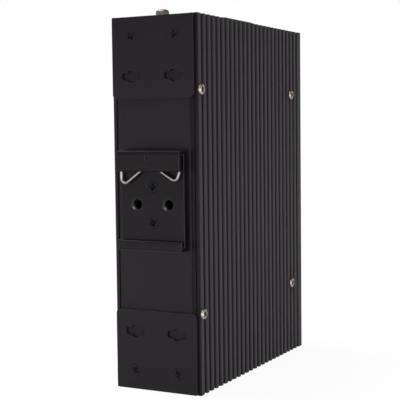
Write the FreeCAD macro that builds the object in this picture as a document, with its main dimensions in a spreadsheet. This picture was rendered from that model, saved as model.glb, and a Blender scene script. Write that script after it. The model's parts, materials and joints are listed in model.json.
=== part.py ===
import FreeCAD
import Part
import math
import operator
import os

import Sketcher

# Slim 35 mm rail Ethernet switch. Millimetres, +Z up. The origin is the middle of the bottom face.
# The front with its sockets faces -Y, the rear with the rail clip faces +Y, and the ribbed cover is at -X.

SIZES = {
    # casing
    "case_width": 42.0,            # over the cover plate and the ribs
    "case_height": 163.0,
    "case_depth": 115.0,           # bezel face to rear wall
    "sheet": 1.2,                  # steel of the chassis
    "bend_radius": 1.1,            # outside radius of its folds
    "flange_width": 8.0,
    "bend_relief": 1.0,            # notch at each corner of the flanges
    "cover_thickness": 1.6,
    "sink_base": 2.2,              # extruded plate under the ribs
    "rib_height": 1.4,
    "rib_pitch": 4.55,
    "rib_gap": 2.1,
    "rib_edge": 0.35,              # slope on each rib's edges
    "first_rib": 3.4,
    "seam_width": 0.5,             # groove along the sink's rear end
    "seam_depth": 0.7,
    "bezel_thickness": 2.3,
    "bezel_edge": 0.8,
    "sink_corner": 0.7,
    "cover_edge": 0.4,
    "front_flange": 16.0,
    "snap_wide": 2.4,              # bezel's snap tabs, across the case
    "snap_tall": 6.0,
    "snap_inset": 2.8,
    "snap_height": 5.0,
    "snap_clearance": 0.1,
    # screws
    "shank": 3.0,
    "thread_clearance": 0.1,
    "hole_clearance": 0.2,
    "sunk_head": 5.6,
    "sunk_head_height": 1.3,
    "sunk_clearance": 0.05,
    "pan_head": 4.6,
    "pan_height": 1.1,
    "cross_length": 3.0,
    "cross_width": 0.8,
    "cross_depth": 0.9,
    "side_shank": 2.5,
    "cover_head": 4.7,
    "screw_reach": 1.4,            # past the tapped sheet
    "board_screw_end": 1.1,        # left in the standoff's thread
    "side_screw_inset": 2.6,       # from the rear face
    "side_screw_setback": 12.1,    # from the front wall
    "side_screw_low": 35.2,
    "side_screw_drop": 32.0,       # from the top
    # wall plates
    "plate_width": 40.0,
    "plate_height": 35.2,
    "plate_thickness": 1.2,
    "plate_corner": 2.0,
    "plate_nick": 0.6,             # round of its outer corners
    "plate_shift": 0.4,
    "plate_margin": 0.2,           # from the top and bottom of the case
    "plate_screw_inset": 8.5,
    "plate_screw_spacing": 20.9,
    "keyhole_inset": 25.8,
    "keyhole_eye": 5.4,
    "keyhole_length": 9.6,
    "keyhole_slot": 3.2,
    # rail clip
    "clip_width": 31.0,
    "clip_shift": 2.2,             # above the middle of the case
    "clip_height": 43.0,
    "clip_base": 3.2,
    "hook_wall": 1.8,
    "upper_gap": 2.3,
    "upper_lip": 2.0,
    "upper_lip_height": 8.9,
    "upper_bevel": 1.6,
    "lower_gap": 1.5,
    "lower_lip": 1.5,
    "lower_lip_height": 4.4,
    "lower_line": 1.9,             # height of the line across the lower hook
    "line_depth": 0.35,
    "hook_round": 0.7,
    "clip_hole_drop": 1.7,         # below the middle of the clip
    "clip_hole_spacing": 15.5,
    "stake_width": 1.6,
    "stake_depth": 0.8,
    # wire spring
    "spring_wire": 1.2,
    "spring_end": 14.4,            # sideways, from the middle of the clip
    "spring_tip": 12.8,
    "spring_shoulder": 1.4,
    "spring_left_drop": 6.8,       # corners below the upper lip, before they are bent round
    "spring_right_drop": 4.6,
    "spring_knee": 0.6,            # above the lip's lower edge, in the hook
    "spring_rise": 2.6,
    "spring_leg_rise": 5.2,
    "spring_bend": 2.0,
    # ground screw
    "ground_across": 3.5,
    "ground_inset": 14.0,          # from the rear face
    "ground_head": 6.0,
    "ground_head_height": 2.4,
    "ground_washer": 8.0,
    "ground_washer_thickness": 0.6,
    "lock_washer": 6.2,
    "lock_washer_thickness": 0.9,
    "lock_split": 0.6,
    # circuit board
    "jack_room": 1.9,              # tallest sockets to the flange of the plain side
    "board_thickness": 1.6,
    "board_margin": 7.5,           # from the top and bottom of the case
    "board_setback": 5.2,          # board's front edge behind the bezel face
    "board_end_gap": 7.3,          # board's rear edge to the rear wall
    "standoff_inset": 5.0,         # from the board's edges
    "standoff_front": 21.5,        # from the bezel face
    "standoff_floor": 1.4,
    "standoff_width": 5.0,
    "standoff_stud": 1.4,
    # stacked sockets
    "socket_set": 0.3,             # shells and cages behind the bezel face
    "jack_low": 16.0,
    "jack_pitch": 15.2,
    "jack_wide": 14.9,
    "jack_tall": 25.2,
    "jack_long": 26.0,
    "jack_shell": 0.4,
    "socket_wide": 11.8,
    "socket_tall": 7.0,
    "socket_deep": 13.0,
    "socket_spacing": 12.4,
    "latch_wide": 6.2,
    "latch_tall": 1.6,
    "jack_fit": 0.15,
    # fibre cages
    "cage_low": 82.0,
    "cage_pitch": 16.4,
    "cage_wide": 14.6,
    "cage_tall": 9.8,
    "cage_long": 47.0,
    "cage_wall": 0.5,
    "connector_long": 9.0,
    "connector_tall": 5.4,
    "connector_wide": 11.5,
    "card_slot": 1.2,
    # lights
    "light_low": 120.0,
    "light_pitch": 4.6,
    "light_wide": 3.4,
    "light_tall": 1.8,
    "light_across": 3.0,           # from the board's face
    "light_bar": 4.4,
    "light_bar_depth": 1.8,
    "light_proud": 0.3,
    "light_run": 9.0,
    "light_bank_depth": 4.0,
    # power terminal
    "terminal_pitch": 5.08,
    "terminal_front": 30.0,        # from the bezel face
    "terminal_pin": 1.0,
    "pin_reach": 5.6,
    "header_wide": 12.0,
    "header_tall": 12.6,
    "header_wall": 0.9,
    "header_floor": 2.4,
    "plug_tall": 13.6,
    "plug_fit": 0.2,
    "wire_hole": 3.2,
    "wire_depth": 5.0,
    "terminal_screw": 3.2,
    "screw_tall": 2.4,
    "screw_sunk": 0.8,
    "screw_slot": 0.6,
    # components
    "chip_wide": 17.0,
    "chip_tall": 1.2,
    "pad_thickness": 0.8,
    "spreader_wide": 24.0,
    "chip_height": 90.0,
    "chip_back": 62.0,             # from the bezel face
    "package_edge": 0.4,
    "part_gap": 2.5,
    "memory_long": 11.0,
    "memory_wide": 8.0,
    "phy_wide": 12.0,
    "phy_tall": 1.2,
    "transformer_long": 12.6,
    "transformer_wide": 13.4,
    "transformer_tall": 5.8,
    "module_wide": 25.4,
    "module_tall": 10.2,
    "inductor_wide": 12.0,
    "inductor_tall": 7.0,
    "can_width": 10.0,
    "can_tall": 18.0,
    "crystal_long": 11.0,
    "crystal_wide": 4.6,
    "crystal_tall": 3.4,
}

WORDS = {
    operator.add: "+",
    operator.sub: "-",
    operator.mul: "*",
    operator.truediv: "/",
}


class Term:
    """A size together with the formula of the sheet that gives it."""

    def __init__(self, value, text):
        self.value = float(value)
        self.text = text

    def joined(self, action, other):
        other = term(other)
        value = action(self.value, other.value)
        return Term(value, "(%s %s %s)" % (self.text, WORDS[action], other.text))

    def __add__(self, other):
        return self.joined(operator.add, other)

    def __radd__(self, other):
        return term(other).joined(operator.add, self)

    def __sub__(self, other):
        return self.joined(operator.sub, other)

    def __rsub__(self, other):
        return term(other).joined(operator.sub, self)

    def __mul__(self, other):
        return self.joined(operator.mul, other)

    def __rmul__(self, other):
        return term(other).joined(operator.mul, self)

    def __truediv__(self, other):
        return self.joined(operator.truediv, other)

    def __neg__(self):
        return Term(-self.value, "(0 - %s)" % self.text)

    def whole(self):
        """The whole number just below the size."""
        return Term(self.value // 1, "floor(%s)" % self.text)


def term(value):
    """A plain number as a Term; a Term stays as it is."""
    if isinstance(value, Term):
        return value
    return Term(value, "(%r)" % float(value))


doc = FreeCAD.newDocument("RailSwitch")
sheet = doc.addObject("Spreadsheet::Sheet", "Sizes")
for row, (alias, number) in enumerate(SIZES.items(), start=1):
    sheet.set("A%d" % row, alias)
    sheet.set("B%d" % row, str(number))
    sheet.setAlias("B%d" % row, alias)
doc.recompute()


def size(alias):
    return Term(SIZES[alias], "Sizes.%s" % alias)


sub_parts = []
ROD_SIDES = 6
WIRE_SIDES = 8
SEAT_SIDES = 12


# ---------------------------------------------------------------- sketches and features

def new_body(label):
    """A sub-part; its label is the name of its file."""
    body = doc.addObject("PartDesign::Body", label)
    body.Label = label
    body.AllowCompound = True
    sub_parts.append(body)
    return body


def origin_feature(body, role):
    found = [feature for feature in body.Origin.OriginFeatures if feature.Role == role]
    return found[0]


def bind(item, prop, value):
    """Sets a property from the sheet."""
    value = term(value)
    item.setExpression(prop, value.text)


class Outline:
    """A sketch on one of the body's origin planes, moved along the plane's normal."""

    def __init__(self, body, plane, offset):
        self.sketch = body.newObject("Sketcher::SketchObject", "Outline")
        self.sketch.AttachmentSupport = [(origin_feature(body, plane), "")]
        self.sketch.MapMode = "FlatFace"
        offset = term(offset)
        self.sketch.AttachmentOffset = FreeCAD.Placement(
            FreeCAD.Vector(0, 0, offset.value), FreeCAD.Rotation())
        bind(self.sketch, "AttachmentOffset.Base.z", offset)

    def measure(self, kind, geometry, point, value):
        value = term(value)
        if kind in ("Radius", "Diameter"):
            constraint = Sketcher.Constraint(kind, geometry, value.value)
        else:
            constraint = Sketcher.Constraint(kind, -1, 1, geometry, point, value.value)
        number = self.sketch.addConstraint(constraint)
        bind(self.sketch, "Constraints[%d]" % number, value)

    def locate(self, geometry, point, across, up):
        self.measure("DistanceX", geometry, point, across)
        self.measure("DistanceY", geometry, point, up)

    def polygon(self, corners):
        """A closed outline of straight sides through the corners."""
        corners = [(term(across), term(up)) for across, up in corners]
        first = self.sketch.GeometryCount
        count = len(corners)
        for index in range(count):
            start = corners[index]
            end = corners[(index + 1) % count]
            line = Part.LineSegment(
                FreeCAD.Vector(start[0].value, start[1].value, 0),
                FreeCAD.Vector(end[0].value, end[1].value, 0))
            self.sketch.addGeometry(line, False)
        for index in range(count):
            following = first + (index + 1) % count
            self.sketch.addConstraint(Sketcher.Constraint("Coincident", first + index, 2, following, 1))
        for index in range(count):
            self.locate(first + index, 1, corners[index][0], corners[index][1])
        return self

    def box(self, left, right, low, high):
        return self.polygon([(left, low), (right, low), (right, high), (left, high)])

    def circle(self, across, up, diameter):
        across, up, diameter = term(across), term(up), term(diameter)
        geometry = self.sketch.addGeometry(
            Part.Circle(FreeCAD.Vector(across.value, up.value, 0), FreeCAD.Vector(0, 0, 1),
                        diameter.value / 2), False)
        self.locate(geometry, 3, across, up)
        self.measure("Diameter", geometry, 0, diameter)
        return self

    def rod(self, across, up, flats, sides=ROD_SIDES):
        """Flat sides round a circle, for a shank, a tapped hole or another round form that is covered."""
        turn = math.pi / sides
        reach = flats / (2 * math.cos(turn))
        return self.polygon([
            (across + reach * math.cos(turn * (2 * side + 1)), up + reach * math.sin(turn * (2 * side + 1)))
            for side in range(sides)])

    def cross(self, across, up, length, width):
        """A plus sign, the outline of a cross recess."""
        reach = length / 2
        half = width / 2
        steps = [(half, reach), (half, half), (reach, half), (reach, -half), (half, -half), (half, -reach),
                 (-half, -reach), (-half, -half), (-reach, -half), (-reach, half), (-half, half),
                 (-half, reach)]
        return self.polygon([(across + right, up + rise) for right, rise in steps])

    def bent_line(self, points, radius):
        """An open line through the points, with an arc tangent to both runs at each bend."""
        points = [(term(across), term(up)) for across, up in points]
        radius = term(radius)
        places = [FreeCAD.Vector(across.value, up.value, 0) for across, up in points]
        starts = [places[0]]
        arcs = []
        for before, bend, after in zip(places, places[1:], places[2:]):
            back = (before - bend).normalize()
            ahead = (after - bend).normalize()
            half = back.getAngle(ahead) / 2
            reach = radius.value / math.tan(half)
            centre = bend + (back + ahead).normalize() * (radius.value / math.sin(half))
            middle = centre + (bend - centre).normalize() * radius.value
            arcs.append(Part.Arc(bend + back * reach, middle, bend + ahead * reach))
            starts += [bend + back * reach, bend + ahead * reach]
        starts.append(places[-1])
        for index in range(len(places) - 1):
            run = Part.LineSegment(starts[2 * index], starts[2 * index + 1])
            self.sketch.addGeometry(run, False)
            if index < len(arcs):
                self.sketch.addGeometry(arcs[index], False)
        self.locate(0, 1, points[0][0], points[0][1])
        last = 2 * (len(places) - 2)
        self.locate(last, 2, points[-1][0], points[-1][1])
        for index in range(1, len(places) - 1):
            mark = self.sketch.addGeometry(Part.Point(places[index]), True)
            self.locate(mark, 1, points[index][0], points[index][1])
            before, arc, after = 2 * index - 2, 2 * index - 1, 2 * index
            self.sketch.addConstraint(Sketcher.Constraint("PointOnObject", mark, 1, before))
            self.sketch.addConstraint(Sketcher.Constraint("PointOnObject", mark, 1, after))
            for run, run_end in ((before, 2), (after, 1)):
                joint = starts[2 * index - 1] if run == before else starts[2 * index]
                arc_start = self.sketch.getPoint(arc, 1)
                arc_end = 1 if arc_start.distanceToPoint(joint) < 1e-6 else 2
                self.sketch.addConstraint(Sketcher.Constraint("Tangent", run, run_end, arc, arc_end))
            self.measure("Radius", arc, 0, radius)
        return self


PLANES = {"X": "YZ_Plane", "Y": "XZ_Plane", "Z": "XY_Plane"}


def outline(body, axis, low, high):
    """An empty sketch across an axis, where a feature between low and high starts."""
    if axis == "Y":
        return Outline(body, PLANES[axis], -term(high))
    return Outline(body, PLANES[axis], low)


def add(body, axis, low, high, draw, taper=0):
    """A pad between two places along an axis; draw puts its profile into the sketch.

    Along Y it starts at the higher place, along X and Z at the lower; a taper above 0 widens it on its way.
    """
    shape = outline(body, axis, low, high)
    draw(shape)
    pad = body.newObject("PartDesign::Pad", "Pad")
    pad.Profile = shape.sketch
    pad.TaperAngle = taper
    bind(pad, "Length", term(high) - low)
    doc.recompute()
    return pad


def cut(body, axis, low, high, draw, taper=0):
    """A pocket between two places along an axis, which starts and tapers as a pad does."""
    before = body.Shape.Volume
    shape = outline(body, axis, low, high)
    draw(shape)
    pocket = body.newObject("PartDesign::Pocket", "Pocket")
    pocket.Profile = shape.sketch
    pocket.Reversed = True
    pocket.TaperAngle = taper
    bind(pocket, "Length", term(high) - low)
    doc.recompute()
    if not body.Shape.Volume < before:
        raise ValueError("a pocket in %s cuts nothing" % body.Label)
    return pocket


def edges_like(shape, wanted):
    """Names of the edges whose middle point and direction satisfy a test."""
    names = []
    for number, edge in enumerate(shape.Edges, start=1):
        start, end = edge.ParameterRange
        middle = edge.valueAt((start + end) / 2)
        run = edge.valueAt(end) - edge.valueAt(start)
        if wanted(middle, run):
            names.append("Edge%d" % number)
    return names


def round_edges(body, radius, wanted):
    """A fillet on the chosen edges of the body so far."""
    base = body.Tip
    fillet = body.newObject("PartDesign::Fillet", "Fillet")
    fillet.Base = (base, edges_like(base.Shape, wanted))
    bind(fillet, "Radius", radius)
    doc.recompute()
    return fillet


def near(first, second):
    return abs(first - term(second).value) < 0.01


def along(run, axis):
    """True for a straight run along one axis."""
    parts = {"X": run.x, "Y": run.y, "Z": run.z}
    return abs(parts[axis]) > 0.999 * run.Length > 0


def repeat(body, steps, features=()):
    """Copies features, or the whole body, in rows; each step is an axis, a pitch and a count."""
    pattern = body.newObject("PartDesign::MultiTransform", "Rows")
    if features:
        pattern.Originals = list(features)
    else:
        pattern.TransformMode = "Whole shape"
    rows = []
    for axis, pitch, count in steps:
        pitch, count = term(pitch), term(count)
        backwards = pitch.value < 0
        row = body.newObject("PartDesign::LinearPattern", "Row")
        row.Direction = (origin_feature(body, axis + "_Axis"), [""])
        row.Reversed = backwards
        bind(row, "Length", (-pitch if backwards else pitch) * (count - 1))
        bind(row, "Occurrences", count)
        rows.append(row)
    pattern.Transformations = rows
    body.Tip = pattern
    doc.recompute()
    return pattern


# ---------------------------------------------------------------- places shared by the sub-parts

rear = size("case_depth") / 2
front = -rear
top = size("case_height")
shell_front = front + size("bezel_thickness")
cover_out = size("case_width") / 2
cover_in = cover_out - size("cover_thickness")
rib_out = -cover_out
rib_floor = rib_out + size("rib_height")
sink_in = rib_floor + size("sink_base")
wall = size("sheet")

side_screw_back = rear - size("side_screw_inset")
side_screw_run = side_screw_back - shell_front - size("side_screw_setback")
side_screw_rise = top - size("side_screw_low") - size("side_screw_drop")
SIDE_ROWS = [("Y", -side_screw_run, 2), ("Z", side_screw_rise, 2)]
side_hole = size("side_shank") + 2 * size("hole_clearance")
cover_head_height = (size("cover_head") - size("side_shank")) / 2
side_thread = size("side_shank") + 2 * size("thread_clearance")

plate_middle = size("plate_shift")
plate_left = plate_middle + size("plate_width") / 2
plate_right = plate_left - size("plate_width")
plate_face = rear + size("plate_thickness")
plate_screw_right = plate_middle - size("plate_screw_spacing") / 2
plate_screw_low = size("plate_screw_inset")
plate_screw_rise = top - 2 * size("plate_screw_inset")
PLATE_ROWS = [("X", size("plate_screw_spacing"), 2), ("Z", plate_screw_rise, 2)]
snap_apart = cover_in - sink_in - 2 * size("snap_inset") - size("snap_wide")
snap_rise = top - 2 * size("snap_height") - size("snap_tall")
SNAP_ROWS = [("X", snap_apart, 2), ("Z", snap_rise, 2)]
shank_hole = size("shank") + 2 * size("hole_clearance")
shank_thread = size("shank") + 2 * size("thread_clearance")
sunk_hole = size("sunk_head") + 2 * size("sunk_clearance")

clip_middle = top / 2 + size("clip_shift")
clip_low = clip_middle - size("clip_height") / 2
clip_top = clip_middle + size("clip_height") / 2
clip_face = rear + size("clip_base")
upper_lip_in = clip_face + size("upper_gap")
upper_lip_out = upper_lip_in + size("upper_lip")
upper_lip_low = clip_top - size("upper_lip_height")
lower_lip_in = clip_face + size("lower_gap")
lower_lip_out = lower_lip_in + size("lower_lip")
lower_lip_top = clip_low + size("lower_lip_height")
clip_hole = clip_middle - size("clip_hole_drop")
half_spacing = size("clip_hole_spacing") / 2
CLIP_SCREW_HOLES = [(0, clip_hole - half_spacing), (0, clip_hole + half_spacing)]
CLIP_SPARE_HOLES = [(-half_spacing, clip_hole), (half_spacing, clip_hole)]

board_face = cover_in - wall - size("jack_room") - size("jack_tall")
board_back = board_face - size("board_thickness")
board_front = front + size("board_setback")
board_rear = rear - wall - size("board_end_gap")
board_low = size("board_margin")
board_top = top - size("board_margin")
standoff_front = front + size("standoff_front")
standoff_low = board_low + size("standoff_inset")
standoff_run = board_rear - size("standoff_inset") - standoff_front
standoff_rise = board_top - size("standoff_inset") - standoff_low
STANDOFF_ROWS = [("Y", standoff_run, 2), ("Z", standoff_rise, 2)]

socket_front = front + size("socket_set")
jack_fit = size("jack_fit")
jack_low = size("jack_low")
jack_out = board_face + size("jack_tall")
jack_back = socket_front + size("jack_long")
cage_low = size("cage_low")
cage_out = board_face + size("cage_tall")
cage_back = socket_front + size("cage_long")
light_line = board_face + size("light_across")
light_back = front + size("light_run")
LIGHT_ROWS = [("Z", size("light_pitch"), 6)]

terminal_start = front + size("terminal_front")
terminal_length = 6 * size("terminal_pitch")
header_length = terminal_length + 2 * (size("header_wall") + size("plug_fit"))
header_low = top - size("header_tall")
header_out = board_face + size("header_wide")
plug_start = terminal_start + size("header_wall") + size("plug_fit")
plug_low = header_low + size("header_floor")
plug_high = plug_low + size("plug_tall")
plug_in = board_face + size("header_wall") + size("plug_fit")
plug_out = header_out - size("header_wall") - size("plug_fit")
first_pole = plug_start + size("terminal_pitch") / 2
POLE_ROWS = [("Y", size("terminal_pitch"), 6)]

ground_back = rear - size("ground_inset")


# ---------------------------------------------------------------- casing

def make_chassis():
    """A ring of folded sheet: rear, top, bottom and inner front wall, with flanges for the covers."""
    body = new_body("chassis")
    add(body, "X", sink_in, cover_in, lambda s: s.box(shell_front, rear, 0, top))
    round_edges(body, size("bend_radius"), lambda middle, run: (
        (along(run, "X") and near(middle.y, rear))
        or (along(run, "Z") and near(middle.y, rear))))
    cut(body, "X", sink_in + wall, cover_in - wall, lambda s: s.box(
        shell_front + wall, rear - wall, wall, top - wall))
    flange = size("flange_width")
    relief = size("bend_relief")
    for inner, outer in ((sink_in, sink_in + wall), (cover_in - wall, cover_in)):
        cut(body, "X", inner, outer, lambda s: s.box(
            shell_front + size("front_flange"), rear - flange, flange, top - flange))
        for back, forwards in ((rear - wall, -1), (shell_front + wall, 1)):
            cut(body, "X", inner, outer, lambda s: s.polygon([
                (back, wall), (back + forwards * flange, wall + relief), (back, wall + relief)]))
            cut(body, "X", inner, outer, lambda s: s.polygon([
                (back, top - wall), (back + forwards * flange, top - wall - relief),
                (back, top - wall - relief)]))
        hole = cut(body, "X", inner, outer, lambda s: s.rod(
            side_screw_back, size("side_screw_low"), side_thread))
        repeat(body, SIDE_ROWS, [hole])
    plate_hole = cut(body, "Y", rear - wall, rear, lambda s: s.rod(
        plate_screw_right, plate_screw_low, shank_thread))
    repeat(body, PLATE_ROWS, [plate_hole])
    for across, up in CLIP_SCREW_HOLES + CLIP_SPARE_HOLES:
        cut(body, "Y", rear - wall, rear, lambda s: s.rod(across, up, shank_thread))
    front_openings(body, shell_front, shell_front + wall)
    snap = cut(body, "Y", shell_front, shell_front + wall, lambda s: snap_outline(s, size("snap_clearance")))
    repeat(body, SNAP_ROWS, [snap])
    cut(body, "Z", top - wall, top, lambda s: s.box(
        board_face - jack_fit, header_out + jack_fit,
        terminal_start - jack_fit, terminal_start + header_length + jack_fit))
    cut(body, "Z", top - wall, top, lambda s: s.rod(
        size("ground_across"), ground_back, shank_thread))


def snap_outline(shape, room):
    """The section of the bezel's lowest snap tab, with room around it."""
    wide = size("snap_wide") / 2 + room
    tall = size("snap_tall") / 2 + room
    across = sink_in + size("snap_inset") + size("snap_wide") / 2
    up = size("snap_height") + size("snap_tall") / 2
    return shape.box(across - wide, across + wide, up - tall, up + tall)


def front_openings(body, low, high):
    """The windows for sockets, cages and lights, through a front wall."""
    cut(body, "Y", low, high, lambda s: s.box(
        board_face - jack_fit, jack_out + jack_fit,
        jack_low - jack_fit, jack_low + 3 * size("jack_pitch") + size("jack_wide") + jack_fit))
    cage = cut(body, "Y", low, high, lambda s: s.box(
        board_face - jack_fit, cage_out + jack_fit,
        cage_low - jack_fit, cage_low + size("cage_wide") + jack_fit))
    repeat(body, [("Z", size("cage_pitch"), 2)], [cage])
    light = cut(body, "Y", low, high, lambda s: light_outline(s, jack_fit))
    repeat(body, LIGHT_ROWS, [light])


def light_outline(shape, room):
    """The section of the lowest light pipe, with room around it."""
    wide = size("light_wide") / 2 + room
    tall = size("light_tall") / 2 + room
    up = size("light_low")
    return shape.box(light_line - wide, light_line + wide, up - tall, up + tall)


def make_front_bezel():
    """The moulded front, with tabs that snap into the chassis."""
    body = new_body("front_bezel")
    add(body, "Y", front, shell_front, lambda s: s.box(rib_out, cover_out, 0, top))
    round_edges(body, size("bezel_edge"), lambda middle, run: near(middle.y, front))
    front_openings(body, front, shell_front)
    snap = add(body, "Y", shell_front, shell_front + wall, lambda s: snap_outline(s, 0))
    repeat(body, SNAP_ROWS, [snap])


def make_left_cover():
    """The plain side cover, with countersinks for its screws."""
    body = new_body("left_cover")
    add(body, "X", cover_in, cover_out, lambda s: s.box(shell_front, rear, 0, top))
    round_edges(body, size("cover_edge"), lambda middle, run: (
        near(middle.x, cover_out) and along(run, "Z")))
    bore = cut(body, "X", cover_in, cover_out, lambda s: s.rod(
        side_screw_back, size("side_screw_low"), side_thread))
    head = cut(body, "X", cover_out - cover_head_height, cover_out, lambda s: s.rod(
        side_screw_back, size("side_screw_low"), side_thread, SEAT_SIDES), taper=45)
    repeat(body, SIDE_ROWS, [bore, head])


def make_heat_sink():
    """The extruded cover: a plate with upright ribs, drilled for screws and standoffs."""
    body = new_body("heat_sink")
    add(body, "Z", 0, top, lambda s: s.box(rib_out, sink_in, shell_front, rear))
    round_edges(body, size("sink_corner"), lambda middle, run: (
        along(run, "Z") and near(middle.x, rib_out) and near(middle.y, rear)))
    start = rear - size("first_rib")
    end = start - size("rib_gap")
    slope = size("rib_edge")
    gap = cut(body, "Z", 0, top, lambda s: s.polygon([
        (rib_out - slope, start + 2 * slope), (rib_out + slope, start), (rib_floor, start),
        (rib_floor, end), (rib_out + slope, end), (rib_out - slope, end - 2 * slope)]))
    last_rib = size("rib_pitch") - size("rib_gap")
    room = start - shell_front - size("rib_gap") - last_rib
    repeat(body, [("Y", -size("rib_pitch"), (room / size("rib_pitch")).whole() + 1)], [gap])
    seam = (rib_out + sink_in) / 2
    half = size("seam_width") / 2
    cut(body, "Z", 0, top, lambda s: s.box(seam - half, seam + half, rear - size("seam_depth"), rear))
    bore = cut(body, "X", rib_out, sink_in, lambda s: s.rod(
        side_screw_back, size("side_screw_low"), side_hole))
    repeat(body, SIDE_ROWS, [bore])
    stud = cut(body, "X", sink_in - size("standoff_stud") - jack_fit, sink_in, lambda s: s.rod(
        standoff_front, standoff_low, side_thread))
    repeat(body, STANDOFF_ROWS, [stud])


# ---------------------------------------------------------------- wall plates and rail clip

def make_wall_plate(label, edge, upwards):
    """A wall plate from its outer edge inwards, with two countersinks and two keyholes."""
    body = new_body(label)
    inner = edge + upwards * size("plate_height")
    low, high = (edge, inner) if upwards > 0 else (inner, edge)
    add(body, "Y", rear, plate_face, lambda s: s.box(plate_right, plate_left, low, high))
    round_edges(body, size("plate_corner"), lambda middle, run: (
        along(run, "Y") and near(middle.z, inner)))
    round_edges(body, size("plate_nick"), lambda middle, run: (
        along(run, "Y") and near(middle.z, edge)))
    border = edge - upwards * size("plate_margin")
    screw = border + upwards * size("plate_screw_inset")
    eye = border + upwards * size("keyhole_inset")
    slot = size("keyhole_slot") / 2
    reach = size("keyhole_length") / 2
    head = cut(body, "Y", rear, plate_face, lambda s: s.circle(
        plate_screw_right, screw, sunk_hole), taper=-45)
    round_eye = cut(body, "Y", rear, plate_face, lambda s: s.circle(
        plate_screw_right, eye, size("keyhole_eye")))
    lobes = cut(body, "Y", rear, plate_face, lambda s: s.polygon([
        (plate_screw_right - reach, eye - slot / 2), (plate_screw_right - reach + slot / 2, eye - slot),
        (plate_screw_right + reach - slot / 2, eye - slot), (plate_screw_right + reach, eye - slot / 2),
        (plate_screw_right + reach, eye + slot / 2), (plate_screw_right + reach - slot / 2, eye + slot),
        (plate_screw_right - reach + slot / 2, eye + slot), (plate_screw_right - reach, eye + slot / 2)]))
    repeat(body, [("X", size("plate_screw_spacing"), 2)], [head, round_eye, lobes])


def make_rail_clip():
    """The extruded clip: a base plate with an upper and a lower hook for a 35 mm rail."""
    body = new_body("rail_clip")
    low = clip_low
    half = size("clip_width") / 2
    shelf = clip_top - size("hook_wall")
    bevel = size("upper_bevel")
    line = low + size("lower_line")
    groove = size("line_depth")
    add(body, "X", -half, half, lambda s: s.polygon([
        (rear, low), (lower_lip_out, low),
        (lower_lip_out, line - groove), (lower_lip_out - groove, line), (lower_lip_out, line + groove),
        (lower_lip_out, lower_lip_top), (lower_lip_in, lower_lip_top),
        (lower_lip_in, low + size("hook_wall")), (clip_face, low + size("hook_wall")),
        (clip_face, shelf), (upper_lip_in, shelf), (upper_lip_in, upper_lip_low),
        (upper_lip_out, upper_lip_low), (upper_lip_out, clip_top - bevel),
        (upper_lip_out - bevel / 2, clip_top), (rear, clip_top)]))
    round_edges(body, size("hook_round"), lambda middle, run: along(run, "X") and (
        (near(middle.y, upper_lip_out) and near(middle.z, upper_lip_low))
        or (near(middle.y, lower_lip_out) and near(middle.z, lower_lip_top))))
    sink = clip_face - size("sunk_head_height")
    for across, up in CLIP_SCREW_HOLES:
        cut(body, "Y", rear, clip_face, lambda s: s.rod(across, up, shank_hole))
    for across, up in CLIP_SPARE_HOLES:
        cut(body, "Y", rear, clip_face, lambda s: s.circle(across, up, shank_hole))
    for across, up in CLIP_SCREW_HOLES + CLIP_SPARE_HOLES:
        cut(body, "Y", sink, clip_face, lambda s: s.circle(across, up, sunk_hole), taper=-45)
    stake = size("stake_width") / 2
    middle = clip_top - size("upper_lip_height") / 3
    cut(body, "Y", upper_lip_out - size("stake_depth"), upper_lip_out, lambda s: s.box(
        -stake, stake, middle - stake, middle + stake))


def make_rail_spring():
    """A bent wire held in the upper hook, with two loops that hang below its lip."""
    body = new_body("rail_spring")
    wire = size("spring_wire")
    depth = upper_lip_in - wire / 2 - size("sunk_clearance")
    end = size("spring_end")
    leg_top = upper_lip_low + size("spring_leg_rise")
    shoulder = size("spring_shoulder")
    ridge = upper_lip_low + size("spring_rise")
    points = [
        (end, leg_top), (end, upper_lip_low - size("spring_left_drop")),
        (shoulder, ridge), (-shoulder, ridge),
        (-size("spring_tip"), upper_lip_low - size("spring_right_drop")),
        (-end, upper_lip_low + size("spring_knee")), (-end, leg_top)]
    path = Outline(body, "XZ_Plane", -depth)
    path.bent_line(points, size("spring_bend"))
    section = Outline(body, "XY_Plane", leg_top)
    section.rod(end, depth, wire, WIRE_SIDES)
    doc.recompute()
    runs = ["Edge%d" % number for number in range(1, len(path.sketch.Shape.Edges) + 1)]
    pipe = body.newObject("PartDesign::AdditivePipe", "Wire")
    pipe.Profile = section.sketch
    pipe.Spine = (path.sketch, runs)
    doc.recompute()


# ---------------------------------------------------------------- screws and washers

def make_rear_screws():
    """Countersunk cross-recess screws in the wall plates and in the rail clip."""
    plates = (plate_face, plate_screw_right, plate_screw_low, PLATE_ROWS)
    clip = (clip_face, 0, clip_hole - half_spacing, [("Z", size("clip_hole_spacing"), 2)])
    for label, (face, across, up, rows) in (("wall_plate_screws", plates), ("rail_clip_screws", clip)):
        body = new_body(label)
        neck = face - size("sunk_head_height")
        add(body, "Y", rear - wall - size("screw_reach"), neck, lambda s: s.rod(
            across, up, size("shank")))
        add(body, "Y", neck, face, lambda s: s.circle(across, up, size("sunk_head")), taper=-45)
        cut(body, "Y", face - size("cross_depth"), face, lambda s: s.cross(
            across, up, size("cross_length"), size("cross_width")))
        repeat(body, rows)


def make_heat_sink_screws():
    """Pan-head screws through the ribs, with their heads on the crests."""
    body = new_body("heat_sink_screws")
    back, up = side_screw_back, size("side_screw_low")
    outer = rib_out - size("pan_height")
    add(body, "X", rib_out, sink_in + wall + size("screw_reach"), lambda s: s.rod(
        back, up, size("side_shank")))
    add(body, "X", outer, rib_out, lambda s: s.circle(back, up, size("pan_head")))
    repeat(body, SIDE_ROWS)


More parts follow.
